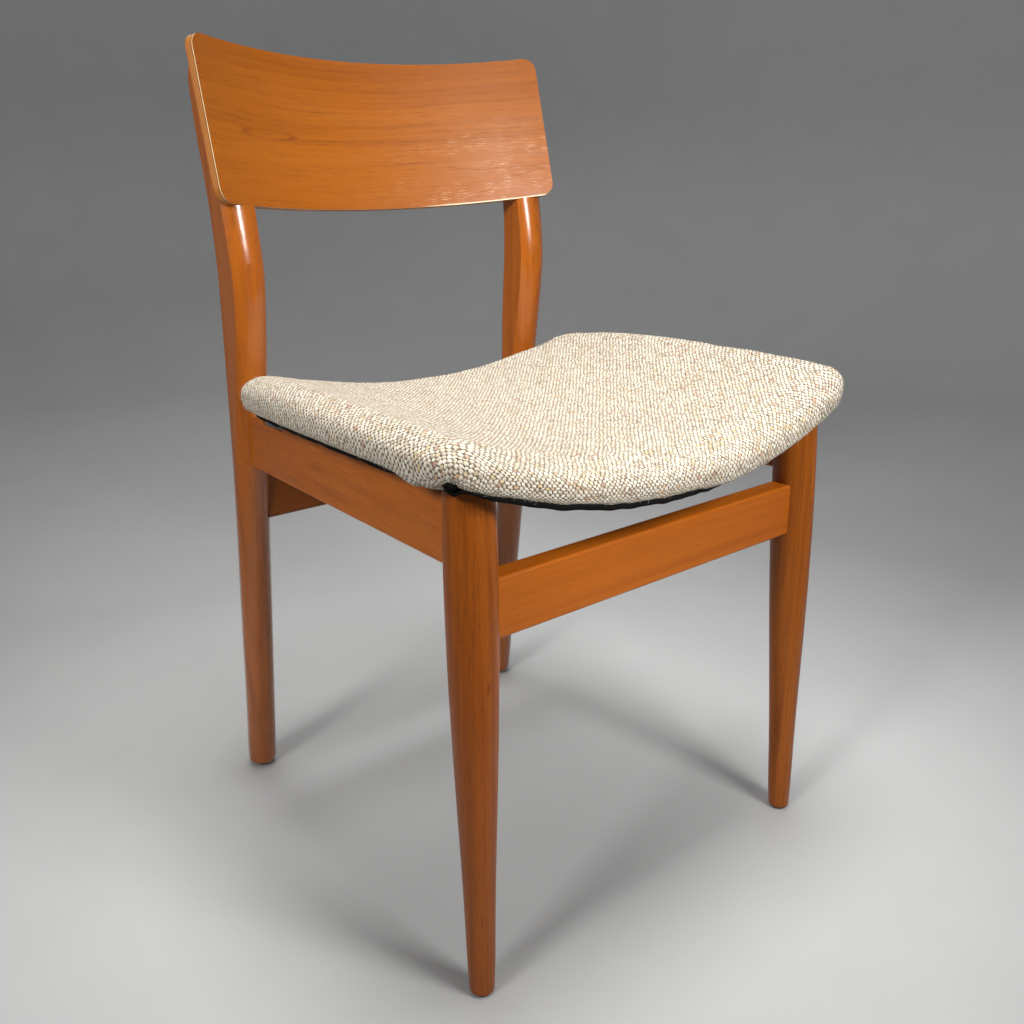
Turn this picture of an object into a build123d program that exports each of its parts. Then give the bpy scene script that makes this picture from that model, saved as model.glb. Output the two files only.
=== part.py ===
"""Dining chair: teak frame with round front legs, shaped rear posts, bent backrest and padded seat.

Everything is in millimetres.  X runs across the chair, -Y is the front and +Z is up.  The origin
is on the floor under the middle of the bounding box.  "Left" is the sitter's left hand, at +X.
"""
import os
from math import asin, atan2, cos, degrees, sin, sqrt

from build123d import *

# ---------------------------------------------------------------- driving dimensions
# Front legs: turned and slightly splayed, their tops cut to the slope of the seat
front_foot = (203.3, -213.8)          # plan position of the axis at the floor, left-hand leg
front_head = (197.3, -199.5)          # and at leg_top
leg_top = 430.0
front_leg_radii = ((0, 10.0), (12, 10.8), (60, 12.3), (140, 14.8), (240, 18.4), (340, 20.3), (450, 18.7))

# Rear posts, section by section: height, X of the middle, half width, front Y, back Y,
# bulge of the nose and bulge of the back
post_stations = (
    (2.5, 175.7, 15.1, 210.5, 240.7, 14.6, 14.6),
    (60, 175.9, 15.5, 204.0, 235.0, 15.0, 15.0),
    (140, 176.3, 16.0, 194.9, 226.9, 15.5, 15.5),
    (240, 176.8, 16.6, 183.6, 216.8, 16.1, 16.1),
    (330, 177.2, 17.1, 173.4, 207.8, 16.4, 16.4),
    (400, 177.0, 17.0, 165.3, 204.6, 15.0, 14.5),
    (450, 176.6, 16.5, 159.4, 203.2, 12.5, 12.0),
    (500, 176.6, 16.2, 153.2, 200.4, 9.8, 9.6),
    (535, 176.9, 16.4, 150.2, 197.8, 8.6, 9.0),
    (556, 177.2, 16.6, 149.8, 196.8, 8.2, 9.0),
    (580, 177.7, 16.7, 152.4, 197.0, 7.8, 9.0),
    (620, 178.3, 16.8, 159.6, 200.4, 7.0, 9.0),
    (680, 178.8, 16.6, 173.0, 212.2, 7.0, 9.0),
    (722, 179.1, 15.8, 184.4, 219.4, 7.0, 9.0),
    (738, 179.2, 13.8, 189.4, 219.6, 7.0, 9.0),
    (744, 179.2, 9.5, 193.5, 215.8, 5.0, 6.5),
)

foot_round = 6.0                      # of the posts' lower ends
bowl_flare = 60.0                     # how far the bowl that rounds them opens above the foot
leg_chamfer = 1.2

# Rails
rail_thickness = 22.0
rail_edge_radius = 3.0
front_rail_face = -211.3              # Y of the front face
front_rail_z = (312.0, 362.0)
rear_rail_face = 179.2
rear_rail_z = (305.5, 355.5)
rail_clearance = 10.0                 # of a cross rail's blank inside the middle of each foot
side_rail_front = (200.4, -199.5)     # plan position of the centre line, inside the front leg
side_rail_rear = (173.6, 184.0)       # and inside the rear post
side_rail_bottom = (372.6, 367.0)     # heights at the front and at the rear
side_rail_top = (429.4, 422.4)

# Backrest: bent plywood, concave towards the sitter, leaning back
back_bottom = (0, 146.8, 621.2)       # middle of the chord of the front face's lower edge
back_tilt = atan2(36.4, 144.6)
back_height = 149.1
back_half_chord = 201.0
back_radius = 415.2                   # of the front face
back_thickness = 8.5
veneer = 0.8
back_corner_radius = 14.0

# Seat: dished plywood shell, padded and covered
seat_front_y = -231.0                 # of the front corners
seat_front_bow = 10.8
seat_rear_y = 140.3
seat_half_front = 230.0               # half widths at the front corners, halfway back and at the rear
seat_half_middle = 230.0
seat_half_rear = 206.0
seat_front_corner = 22.0
seat_rear_corner = 38.0
seat_radius = 580.0                   # of the dished underside
seat_low = 396.8                      # underside at the front, on the centre line
seat_rise = 0.011                     # climb of the underside's centre line towards the rear
pad_radius = 575.0                    # of the dished top
pad_high = 428.0                      # top at the front, on the centre line
pad_rise = 0.0265
pad_top_round = 13.0
pad_bottom_round = 5.0
board_thickness = 9.0
cover_thickness = 1.5
cloth_thickness = 0.6
cover_turn_under = 30.0
cloth_inset = 15.0

# Fixings
dowel_radius = 4.0
dowel_length = 36.0
dowel_edge_distance = 13.0
front_shoulder_x = 178.5              # where the front and rear rails meet the legs and posts
rear_shoulder_x = 159.0
side_shoulders = ((-183.0, 0), (164.5, 1))    # Y, and which end of the side rail
glide_radius = 8.0
glide_height = 2.5
glide_chamfer = 0.8
glide_pin_radius = 1.2
glide_pin_length = 14.0
bracket_width = 40.0
bracket_thickness = 2.5
bracket_z = 418.2                     # underside of every bracket
bracket_corner = 3.0
# Y, inner end X, seat screw X, outer end's depth inside the rail's outer face, and the end of the
# recess beyond the plate; the rear recesses run out through the rail's outer face
bracket_rows = (
    (-112.0, 166.0, 174.5, 5.0, 0.2),
    (108.0, 156.5, 162.3, 1.5, 6.5),
)
recess_gap = 0.3                      # at each long side of a plate
recess_flare = (10.5, 15.75)          # run and rise of a recess's sloping ends
rail_screw_radius = 1.8
rail_screw_length = 25.0
rail_screw_spread = 12.0
seat_screw_radius = 2.0
seat_screw_bite = 6.5
pan_head = (4.0, 2.4)                 # radius, height
washer_radius = 6.0
plug_radius = 5.0
back_screws = ((38.0, 43.5), (112.0, 36.5))   # height up the backrest, depth of the head's top
back_screw_tip = 14.5                 # depth of the point, inside the core
back_screw_x = 178.8
plug_blank = 20.0                     # length of a plug before it is trimmed flush
staple_crown = 9.0
staple_wire = 0.9
staple_leg = 5.0
staple_inset = 22.0
staple_pitch = 30.0
staple_gap = 0.05                     # between a crown and the cloth

SIDES = (("left", 1), ("right", -1))


def piece(builder, name):
    """Label a finished sub-part and write it."""
    builder.part.label = name
    export_step(builder.part, f"parts/{name}.step")


def turned(places, radius, amount, both=False):
    """Separate round bars, each from a start point along its direction."""
    with BuildPart() as group:
        for start, direction in places:
            with BuildSketch(Plane(origin=start, z_dir=direction)):
                Circle(radius)
            extrude(amount=amount, both=both)
    return group


os.makedirs("parts", exist_ok=True)

# ---------------------------------------------------------------- seat surfaces
seat_reach = 260.0                    # beyond every edge of the seat
prism_base = seat_low - 20
prism_height = 150.0
least_corner = 4.0


def dish_plane(front_height, climb):
    """Upright plane across the chair, tilted with a dished surface; its origin is in the surface."""
    return Plane(origin=(0, 0, front_height - climb * seat_front_y), x_dir=(-1, 0, 0), z_dir=(0, 1, climb))


low_plane = dish_plane(seat_low, seat_rise)
high_plane = dish_plane(pad_high, pad_rise)


def underside(x, y):
    """Height of the seat's dished underside."""
    return seat_low + seat_rise * (y - seat_front_y) + seat_radius - sqrt(seat_radius**2 - x**2)


def over(plane, radius, lift):
    """Everything over a dished surface, raised by a lift along its normals."""
    with BuildPart() as solid:
        with BuildSketch(plane):
            with Locations((0, radius)):
                Circle(radius - lift)
            Rectangle(2 * seat_reach, 2 * seat_reach, mode=Mode.INTERSECT)
        extrude(amount=1.2 * seat_reach, both=True)
    return solid.part


def seat_prism(inset):
    """Upright prism over the seat's plan, brought in by an inset."""
    front_y = seat_front_y + inset
    rear_y = seat_rear_y - inset
    middle_y = (front_y + rear_y) / 2
    front_x, middle_x, rear_x = (x - inset for x in (seat_half_front, seat_half_middle, seat_half_rear))
    with BuildPart() as prism:
        with BuildSketch(Plane.XY.offset(prism_base)) as plan:
            with BuildLine():
                ThreePointArc((-front_x, front_y), (0, front_y - seat_front_bow), (front_x, front_y))
                ThreePointArc((front_x, front_y), (middle_x, middle_y), (rear_x, rear_y))
                Line((rear_x, rear_y), (-rear_x, rear_y))
                ThreePointArc((-rear_x, rear_y), (-middle_x, middle_y), (-front_x, front_y))
            make_face()
            fillet(plan.vertices().group_by(Axis.Y)[-1], seat_rear_corner - inset)
            fillet(plan.vertices().group_by(Axis.Y)[0], max(seat_front_corner - inset, least_corner))
        extrude(amount=prism_height)
    return prism.part


def rim(body, upper):
    """Edges around the upper or the lower dished face of a seat layer."""
    dished = body.faces().sort_by(SortBy.AREA)[-2:].sort_by(Axis.Z)
    return dished[-1 if upper else 0].edges()


# ---------------------------------------------------------------- seat layers
board_top = cover_thickness + board_thickness

with BuildPart() as seat_board:
    add(seat_prism(cover_thickness))
    add(over(low_plane, seat_radius, cover_thickness), mode=Mode.INTERSECT)
    add(over(low_plane, seat_radius, board_top), mode=Mode.SUBTRACT)
    fillet(rim(seat_board, upper=False), pad_bottom_round - cover_thickness)

with BuildPart() as seat_foam:
    add(seat_prism(cover_thickness))
    add(over(low_plane, seat_radius, board_top), mode=Mode.INTERSECT)
    add(over(high_plane, pad_radius, -cover_thickness), mode=Mode.SUBTRACT)
    fillet(rim(seat_foam, upper=True), pad_top_round - cover_thickness)

# The cover wraps the padding, turns under the board and leaves the board's middle bare
with BuildPart() as cover_opening:
    add(seat_prism(cover_turn_under))
    add(over(low_plane, seat_radius, cover_thickness), mode=Mode.SUBTRACT)

with BuildPart() as seat_cover:
    add(seat_prism(0))
    add(over(low_plane, seat_radius, 0), mode=Mode.INTERSECT)
    add(over(high_plane, pad_radius, 0), mode=Mode.SUBTRACT)
    fillet(rim(seat_cover, upper=True), pad_top_round)
    fillet(rim(seat_cover, upper=False), pad_bottom_round)
    add((seat_board.part, seat_foam.part, cover_opening.part), mode=Mode.SUBTRACT)

# Bottom cloth: hides the turned-under edge
with BuildPart() as seat_bottom_cloth:
    add(seat_prism(cloth_inset))
    add(over(low_plane, seat_radius, -cloth_thickness), mode=Mode.INTERSECT)
    add(over(low_plane, seat_radius, 0), mode=Mode.SUBTRACT)

seat_envelope = over(low_plane, seat_radius, -cloth_thickness)

# ---------------------------------------------------------------- backrest laminate
back_up = Vector(0, sin(back_tilt), cos(back_tilt))
back_plane = Plane(origin=back_bottom, x_dir=(1, 0, 0), z_dir=back_up)
back_centre = sqrt(back_radius**2 - back_half_chord**2)
back_half_angle = degrees(asin(back_half_chord / back_radius))


def back_layer(near_depth, far_depth):
    """One layer of the backrest, between two depths behind its front face."""
    with BuildPart() as layer:
        with BuildSketch(back_plane):
            with BuildLine():
                arc = ((0, -back_centre), 90 - back_half_angle, 2 * back_half_angle)
                near = CenterArc(arc[0], back_radius + near_depth, *arc[1:])
                far = CenterArc(arc[0], back_radius + far_depth, *arc[1:])
                Line(near @ 0, far @ 0)
                Line(near @ 1, far @ 1)
            make_face()
        extrude(amount=back_height)
        thickness = far_depth - near_depth
        fillet(layer.edges().filter_by(lambda edge: abs(edge.length - thickness) < 0.01), back_corner_radius)
    return layer


backrest_front_veneer = back_layer(0, veneer)
backrest_core = back_layer(veneer, back_thickness - veneer)
backrest_back_veneer = back_layer(back_thickness - veneer, back_thickness)

# Everything in front of the backrest's rear face and above its lower edge: the posts are rebated to it
with BuildPart() as back_rebate:
    with BuildSketch(back_plane):
        with Locations((0, -back_centre)):
            Circle(back_radius + back_thickness)
    extrude(amount=2 * back_height)

# ---------------------------------------------------------------- front legs and rear posts
leg_rise = Vector(front_head[0] - front_foot[0], front_head[1] - front_foot[1], leg_top).normalized()
leg_across = Vector(leg_rise.Z, 0, -leg_rise.X)
turning_plane = Plane(origin=(*front_foot, 0), x_dir=leg_across, z_dir=leg_across.cross(leg_rise))

with BuildPart() as leg_blank:
    with BuildSketch(turning_plane):
        with BuildLine():
            turned_side = Spline([(radius, height) for height, radius in front_leg_radii])
            Polyline(turned_side @ 1, (0, front_leg_radii[-1][0]), (0, 0), turned_side @ 0)
        make_face()
    revolve(axis=Axis(turning_plane.origin, leg_rise))
    split(bisect_by=Plane.XY.offset(glide_height), keep=Keep.TOP)
    chamfer(leg_blank.edges().group_by(Axis.Z)[0], leg_chamfer)
    add(seat_envelope, mode=Mode.SUBTRACT)


def post_section(station):
    """Outline of a post: two flat cheeks, a bulging nose and a bulging back."""
    height, centre, half, front, back, nose, heel = station
    with BuildSketch(Plane.XY.offset(height)) as outline:
        with BuildLine():
            ThreePointArc((centre - half, front + nose), (centre, front), (centre + half, front + nose))
            Line((centre + half, front + nose), (centre + half, back - heel))
            ThreePointArc((centre + half, back - heel), (centre, back), (centre - half, back - heel))
            Line((centre - half, back - heel), (centre - half, front + nose))
        make_face()
    return outline.sketch


rear_foot = (post_stations[0][1], (post_stations[0][3] + post_stations[0][4]) / 2)
foot_radius = post_stations[0][2]

with BuildPart() as post_blank:
    loft([post_section(station) for station in post_stations])
    # A turned bowl around the foot rounds its lower edge
    with BuildSketch(Plane(origin=(*rear_foot, glide_height), x_dir=(1, 0, 0), z_dir=(0, -1, 0))):
        with BuildLine():
            flat = Line((0, 0), (foot_radius - foot_round, 0))
            bend = TangentArc(flat @ 1, (foot_radius, foot_round), tangent=(1, 0))
            wide, high = foot_radius + bowl_flare, post_stations[-1][0] + bowl_flare
            Polyline(bend @ 1, (wide, bowl_flare), (wide, high), (0, high), (0, 0))
        make_face()
    revolve(axis=Axis((*rear_foot, 0), (0, 0, 1)), mode=Mode.INTERSECT)

# Both hands of each upright, by side
leg_blanks = {1: leg_blank.part, -1: mirror(leg_blank.part, about=Plane.YZ)}
post_blanks = {1: post_blank.part, -1: mirror(post_blank.part, about=Plane.YZ)}

# ---------------------------------------------------------------- rails before their ends are coped
side_rail_slope = (side_rail_front[0] - side_rail_rear[0]) / (side_rail_rear[1] - side_rail_front[1])


def side_rail_x(y):
    """X of a side rail's centre line."""
    return side_rail_front[0] - (y - side_rail_front[1]) * side_rail_slope


def side_rail_blank(side):
    """A side rail; it runs inwards towards the rear."""
    front, rear = (Vector(side * x, y) for x, y in (side_rail_front, side_rail_rear))
    run = rear - front
    with BuildPart() as rail:
        with BuildSketch(Plane(origin=front, x_dir=run, z_dir=(run.Y, -run.X, 0))):
            with BuildLine():
                Polyline(
                    (0, side_rail_bottom[0]),
                    (run.length, side_rail_bottom[1]),
                    (run.length, side_rail_top[1]),
                    (0, side_rail_top[0]),
                    close=True,
                )
            make_face()
        extrude(amount=rail_thickness / 2, both=True)
        fillet(rail.edges().filter_by(lambda edge: edge.length > 0.9 * run.length), rail_edge_radius)
    return rail.part


def cross_rail_blank(face_y, heights, half_length):
    """A front or rear rail."""
    with BuildPart() as rail:
        with BuildSketch(Plane.YZ):
            with Locations((face_y + rail_thickness / 2, sum(heights) / 2)):
                RectangleRounded(rail_thickness, heights[1] - heights[0], rail_edge_radius)
        extrude(amount=half_length, both=True)
    return rail.part


# ---------------------------------------------------------------- dowels
def cross_rail_dowels(face_y, heights, shoulder_x):
    """Two dowels at each end of a front or rear rail."""
    y = face_y + rail_thickness / 2
    levels = (heights[0] + dowel_edge_distance, heights[1] - dowel_edge_distance)
    places = [((side * shoulder_x, y, z), (1, 0, 0)) for _, side in SIDES for z in levels]
    return turned(places, dowel_radius, dowel_length / 2, both=True)


side_dowel_places = []
for _, side in SIDES:
    for y, end in side_shoulders:
        for z in (side_rail_bottom[end] + dowel_edge_distance, side_rail_top[end] - dowel_edge_distance - 1):
            side_dowel_places.append(((side * side_rail_x(y), y, z), (-side * side_rail_slope, 1, 0)))

front_rail_dowels = cross_rail_dowels(front_rail_face, front_rail_z, front_shoulder_x)
rear_rail_dowels = cross_rail_dowels(rear_rail_face, rear_rail_z, rear_shoulder_x)
side_rail_dowels = turned(side_dowel_places, dowel_radius, dowel_length / 2, both=True)

# ---------------------------------------------------------------- backrest screws and plugs

def back_bars(radius, near, far):
    """Bars along the backrest's depth at its four fixings; near and far turn a head depth into an end."""
    with BuildPart() as bars:
        for _, side in SIDES:
            for height, head in back_screws:
                start = back_plane.from_local_coords(Vector(side * back_screw_x, near(head), height))
                with BuildSketch(Plane(origin=start, z_dir=back_plane.y_dir)):
                    Circle(radius)
                extrude(amount=far(head) - near(head))
    return bars


shanks = back_bars(rail_screw_radius, lambda head: back_screw_tip, lambda head: head)
heads = back_bars(pan_head[0], lambda head: head - pan_head[1], lambda head: head)
bores = back_bars(plug_radius, lambda head: head - pan_head[1], lambda head: head + plug_blank)

with BuildPart() as backrest_screws:
    add((shanks.part, heads.part))

with BuildPart() as backrest_plugs:
    add(back_bars(plug_radius, lambda head: head, lambda head: head + plug_blank).part)
    add(post_blanks[1] + post_blanks[-1], mode=Mode.INTERSECT)

# ---------------------------------------------------------------- seat brackets, washers and screws
bracket_top = bracket_z + bracket_thickness
rail_half_width = rail_thickness / 2


def bracket_plates():
    """Flat steel plates lying across the side rails."""
    with BuildPart() as plates:
        for _, side in SIDES:
            for y, inner_x, _, depth, _ in bracket_rows:
                outer_x = side_rail_x(y) + rail_half_width - depth
                with BuildSketch(Plane.XY.offset(bracket_z)):
                    with Locations((side * (outer_x + inner_x) / 2, y)):
                        RectangleRounded(outer_x - inner_x, bracket_width, bracket_corner)
                extrude(amount=bracket_thickness)
    return plates.part


def recesses():
    """Hollows with sloping ends in the side rails' tops, for the plates."""
    half = bracket_width / 2 + recess_gap
    run, rise = recess_flare
    with BuildPart() as hollows:
        for _, side in SIDES:
            for y, inner_x, _, depth, beyond in bracket_rows:
                outer_x = side_rail_x(y) + rail_half_width - depth + beyond
                with BuildSketch(Plane.YZ.offset(side * inner_x)):
                    with BuildLine():
                        Polyline(
                            (y - half, bracket_z),
                            (y + half, bracket_z),
                            (y + half + run, bracket_z + rise),
                            (y - half - run, bracket_z + rise),
                            close=True,
                        )
                    make_face()
                extrude(amount=side * (outer_x - inner_x))
    return hollows.part


rail_screw_places = []
seat_screw_places = []
for _, side in SIDES:
    for y, _, screw_x, _, _ in bracket_rows:
        seat_screw_places.append((side * screw_x, y))
        for offset in (-rail_screw_spread, rail_screw_spread):
            rail_screw_places.append((side * side_rail_x(y + offset), y + offset))

with BuildPart() as bracket_screws:
    for x, y in rail_screw_places:
        with BuildSketch(Plane.XY.offset(bracket_top)):
            with Locations((x, y)):
                Circle(rail_screw_radius)
        extrude(amount=-rail_screw_length)
        with Locations(Plane.XY.offset(bracket_z + bracket_thickness / 2)):
            with Locations((x, y)):
                Cone(rail_screw_radius, 2 * rail_screw_radius, bracket_thickness)

with BuildPart() as seat_screws:
    for x, y in seat_screw_places:
        with BuildSketch(Plane.XY.offset(bracket_z)):
            with Locations((x, y)):
                Circle(seat_screw_radius)
        extrude(amount=underside(x, y) + cover_thickness + seat_screw_bite - bracket_z)
        with BuildSketch(Plane.XY.offset(bracket_z)):
            with Locations((x, y)):
                Circle(pan_head[0])
        extrude(amount=-pan_head[1])

with BuildPart() as seat_brackets:
    add(bracket_plates())
    add((bracket_screws.part, seat_screws.part), mode=Mode.SUBTRACT)

with BuildPart() as seat_washers:
    with BuildSketch(Plane.XY.offset(bracket_top)):
        with Locations(seat_screw_places):
            Circle(washer_radius)
            Circle(seat_screw_radius, mode=Mode.SUBTRACT)
    extrude(amount=2 * washer_radius)
    add(seat_envelope, mode=Mode.SUBTRACT)

# ---------------------------------------------------------------- cover staples
def staple(x, y, heading):
    """A wire staple driven up through the cloth and the cover into the board."""
    lean = degrees(asin(x / seat_radius))
    crown_top = (x, y, underside(x, y) - cloth_thickness - staple_gap)
    frame = Plane(Location(crown_top, (0, -lean, 0)) * Location((0, 0, 0), (0, 0, heading)))
    with BuildPart() as wire:
        with BuildSketch(frame):
            Rectangle(staple_crown, staple_wire)
        extrude(amount=-staple_wire)
        with BuildSketch(frame):
            with Locations(((staple_wire - staple_crown) / 2, 0), ((staple_crown - staple_wire) / 2, 0)):
                Rectangle(staple_wire, staple_wire)
        extrude(amount=staple_leg + cloth_thickness)
    return wire.part


def seat_side_x(y):
    """Half width of the seat's plan."""
    return seat_half_middle - (seat_half_middle - seat_half_rear) * max(y / seat_rear_y, 0) ** 1.5


def seat_front_edge(x):
    """Y of the seat's bowed front."""
    return seat_front_y - seat_front_bow * (1 - (x / seat_half_front) ** 2)


staple_list = []
for step in range(-5, 6):
    staple_list.append(staple(step * staple_pitch, seat_front_edge(step * staple_pitch) + staple_inset, 0))
for step in range(-4, 5):
    staple_list.append(staple(step * staple_pitch, seat_rear_y - staple_inset, 0))
for _, side in SIDES:
    for step in range(-5, 4):
        y = step * staple_pitch
        staple_list.append(staple(side * (seat_side_x(y) - staple_inset - staple_wire), y, 90))

with BuildPart() as cover_staples:
    add(staple_list)

for layer in (seat_bottom_cloth, seat_cover, seat_board):
    with layer:
        add(cover_staples.part, mode=Mode.SUBTRACT)
for layer in (seat_bottom_cloth, seat_board):
    with layer:
        add(seat_screws.part, mode=Mode.SUBTRACT)

# ---------------------------------------------------------------- finished legs, posts and rails
def glide(x, y):
    """A low disc with a pin driven up the foot."""
    with BuildPart() as disc:
        with BuildSketch(Plane.XY):
            with Locations((x, y)):
                Circle(glide_radius)
        extrude(amount=glide_height)
        chamfer(disc.edges().group_by(Axis.Z)[0], glide_chamfer)
        with BuildSketch(Plane.XY.offset(glide_height)):
            with Locations((x, y)):
                Circle(glide_pin_radius)
        extrude(amount=glide_pin_length)
    return disc


for name, side in SIDES:
    front_glide = glide(side * front_foot[0], front_foot[1])
    rear_glide = glide(side * rear_foot[0], rear_foot[1])
    piece(front_glide, f"front_{name}_glide")
    piece(rear_glide, f"rear_{name}_glide")

    with BuildPart() as front_leg:
        add(leg_blanks[side])
        add((front_rail_dowels.part, side_rail_dowels.part, front_glide.part), mode=Mode.SUBTRACT)
    piece(front_leg, f"front_leg_{name}")

    with BuildPart() as rear_post:
        add(post_blanks[side])
        add((back_rebate.part, shanks.part, bores.part), mode=Mode.SUBTRACT)
        add((rear_rail_dowels.part, side_rail_dowels.part, rear_glide.part), mode=Mode.SUBTRACT)
    piece(rear_post, f"rear_post_{name}")

    with BuildPart() as side_rail:
        add(side_rail_blank(side))
        add((leg_blanks[side], post_blanks[side], seat_envelope), mode=Mode.SUBTRACT)
        add((recesses(), side_rail_dowels.part, bracket_screws.part), mode=Mode.SUBTRACT)
    piece(side_rail, f"side_rail_{name}")

with BuildPart() as front_rail:
    add(cross_rail_blank(front_rail_face, front_rail_z, front_foot[0] - rail_clearance))
    add((*leg_blanks.values(), front_rail_dowels.part), mode=Mode.SUBTRACT)

with BuildPart() as rear_rail:
    add(cross_rail_blank(rear_rail_face, rear_rail_z, rear_foot[0] - rail_clearance))
    add((*post_blanks.values(), rear_rail_dowels.part), mode=Mode.SUBTRACT)

with backrest_core:
    add(shanks.part, mode=Mode.SUBTRACT)
with backrest_back_veneer:
    add(shanks.part, mode=Mode.SUBTRACT)

for builder, name in (
    (front_rail, "front_rail"),
    (rear_rail, "rear_rail"),
    (front_rail_dowels, "front_rail_dowels"),
    (rear_rail_dowels, "rear_rail_dowels"),
    (side_rail_dowels, "side_rail_dowels"),
    (backrest_core, "backrest_core"),
    (backrest_front_veneer, "backrest_front_veneer"),
    (backrest_back_veneer, "backrest_back_veneer"),
    (backrest_screws, "backrest_screws"),
    (backrest_plugs, "backrest_plugs"),
    (seat_board, "seat_board"),
    (seat_foam, "seat_foam"),
    (seat_cover, "seat_cover"),
    (seat_bottom_cloth, "seat_bottom_cloth"),
    (cover_staples, "cover_staples"),
    (seat_brackets, "seat_brackets"),
    (bracket_screws, "bracket_screws"),
    (seat_washers, "seat_washers"),
    (seat_screws, "seat_screws"),
):
    piece(builder, name)
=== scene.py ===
"""Looks of the dining chair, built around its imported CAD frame.

Metres throughout.  X runs across the chair, -Y is its front and +Z is up, as in the frame.
"""

import math

import bpy
import numpy as np
from mathutils import Matrix, Vector


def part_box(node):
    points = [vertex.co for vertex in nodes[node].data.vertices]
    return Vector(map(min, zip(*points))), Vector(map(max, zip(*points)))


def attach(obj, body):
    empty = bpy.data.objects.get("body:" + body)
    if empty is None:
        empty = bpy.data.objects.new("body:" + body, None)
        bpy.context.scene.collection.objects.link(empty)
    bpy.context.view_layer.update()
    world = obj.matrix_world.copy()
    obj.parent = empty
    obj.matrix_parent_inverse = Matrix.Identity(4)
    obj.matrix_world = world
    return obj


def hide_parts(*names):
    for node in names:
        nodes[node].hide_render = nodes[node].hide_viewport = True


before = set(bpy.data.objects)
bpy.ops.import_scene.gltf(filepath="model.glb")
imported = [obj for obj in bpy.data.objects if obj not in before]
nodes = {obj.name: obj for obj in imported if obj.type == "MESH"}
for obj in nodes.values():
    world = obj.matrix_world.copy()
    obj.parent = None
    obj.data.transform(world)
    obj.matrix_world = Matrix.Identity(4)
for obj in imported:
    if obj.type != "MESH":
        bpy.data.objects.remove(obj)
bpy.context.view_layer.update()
ROOT = "root"


# ---------------------------------------------------------------- camera
def add_camera(place, yaw, pitch, roll, lens):
    """A camera at a place, turned from +Y towards +X by yaw, down by pitch and round by roll."""
    ahead = Vector((math.sin(yaw) * math.cos(pitch), math.cos(yaw) * math.cos(pitch), -math.sin(pitch)))
    level = Vector((math.cos(yaw), -math.sin(yaw), 0))
    down = ahead.cross(level)
    right = math.cos(roll) * level + math.sin(roll) * down
    up = math.sin(roll) * level - math.cos(roll) * down
    data = bpy.data.cameras.new("camera")
    data.lens = lens
    data.sensor_width = 36
    data.clip_start = 0.05
    camera = bpy.data.objects.new("camera", data)
    camera.matrix_world = Matrix.Translation(place) @ Matrix((right, up, -ahead)).transposed().to_4x4()
    bpy.context.scene.collection.objects.link(camera)
    bpy.context.scene.camera = camera


CAMERA_PLACE = Vector((-0.6288, -0.7581, 0.6491))
CAMERA_YAW, CAMERA_PITCH, CAMERA_ROLL = 0.7017, 0.3212, 0.0041    # radians, fitted to the photo
CAMERA_LENS = 36.35
add_camera(CAMERA_PLACE, CAMERA_YAW, CAMERA_PITCH, CAMERA_ROLL, CAMERA_LENS)


# ---------------------------------------------------------------- material graphs
class Graph:
    """A material's nodes, added and joined one at a time."""

    def __init__(self, name, **sockets):
        self.material = bpy.data.materials.new(name)
        self.material.use_nodes = True
        self.tree = self.material.node_tree
        self.shader = self.tree.nodes["Principled BSDF"]
        for socket, value in sockets.items():
            self.shader.inputs[socket.replace("_", " ")].default_value = value

    def feed(self, socket, value):
        if isinstance(value, bpy.types.NodeSocket):
            self.tree.links.new(value, socket)
        else:
            socket.default_value = value

    def add(self, kind, *values, **settings):
        """A node with its first inputs given in order; returns it."""
        made = self.tree.nodes.new("ShaderNode" + kind)
        for key, value in settings.items():
            setattr(made, key, value)
        for socket, value in zip(made.inputs, values):
            if value is not None:
                self.feed(socket, value)
        return made

    def place(self, scale=(1, 1, 1), turn=(0, 0, 0), shift=(0, 0, 0)):
        """The surface's place in the row frame, shifted, turned and scaled."""
        coordinates = self.add("TexCoord").outputs["Object"]
        moved = self.add("Mapping", coordinates, shift, turn, (1, 1, 1)).outputs[0]
        return self.add("Mapping", moved, (0, 0, 0), (0, 0, 0), scale).outputs[0]

    def noise(self, vector, scale=1.0, detail=3.0, rough=0.5, distortion=0.0):
        made = self.add("TexNoise")
        self.feed(made.inputs["Vector"], vector)
        settings = {"Scale": scale, "Detail": detail, "Roughness": rough, "Distortion": distortion}
        for socket, value in settings.items():
            self.feed(made.inputs[socket], value)
        return made.outputs[0]

    def math(self, operation, *values):
        return self.add("Math", *values, operation=operation).outputs[0]

    def vector(self, operation, *values):
        return self.add("VectorMath", *values, operation=operation).outputs[0]

    def span(self, value, low, high, to_low=0.0, to_high=1.0):
        """A value's stretch from low to high, spread over another stretch and held there."""
        return self.add("MapRange", value, low, high, to_low, to_high).outputs[0]

    def ramp(self, value, *stops):
        """Colours along a value."""
        made = self.add("ValToRGB", value)
        elements = made.color_ramp.elements
        while len(elements) < len(stops):
            elements.new(0.5)
        for element, (position, colour) in zip(elements, stops):
            element.position = position
            element.color = (*colour, 1)
        return made.outputs[0]

    def mix(self, share, first, second, blend="MIX"):
        made = self.tree.nodes.new("ShaderNodeMix")
        made.data_type = "RGBA"
        made.blend_type = blend
        for socket, value in zip((made.inputs[0], made.inputs[6], made.inputs[7]), (share, first, second)):
            self.feed(socket, (*value, 1) if isinstance(value, tuple) and len(value) == 3 else value)
        return made.outputs[2]

    def colour(self, value):
        self.feed(self.shader.inputs["Base Color"], value)

    def rough(self, value):
        self.feed(self.shader.inputs["Roughness"], value)

    def bump(self, height, distance, strength=1.0):
        made = self.add("Bump")
        made.inputs["Strength"].default_value = strength
        made.inputs["Distance"].default_value = distance
        self.feed(made.inputs["Height"], height)
        self.feed(self.shader.inputs["Normal"], made.outputs[0])


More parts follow.
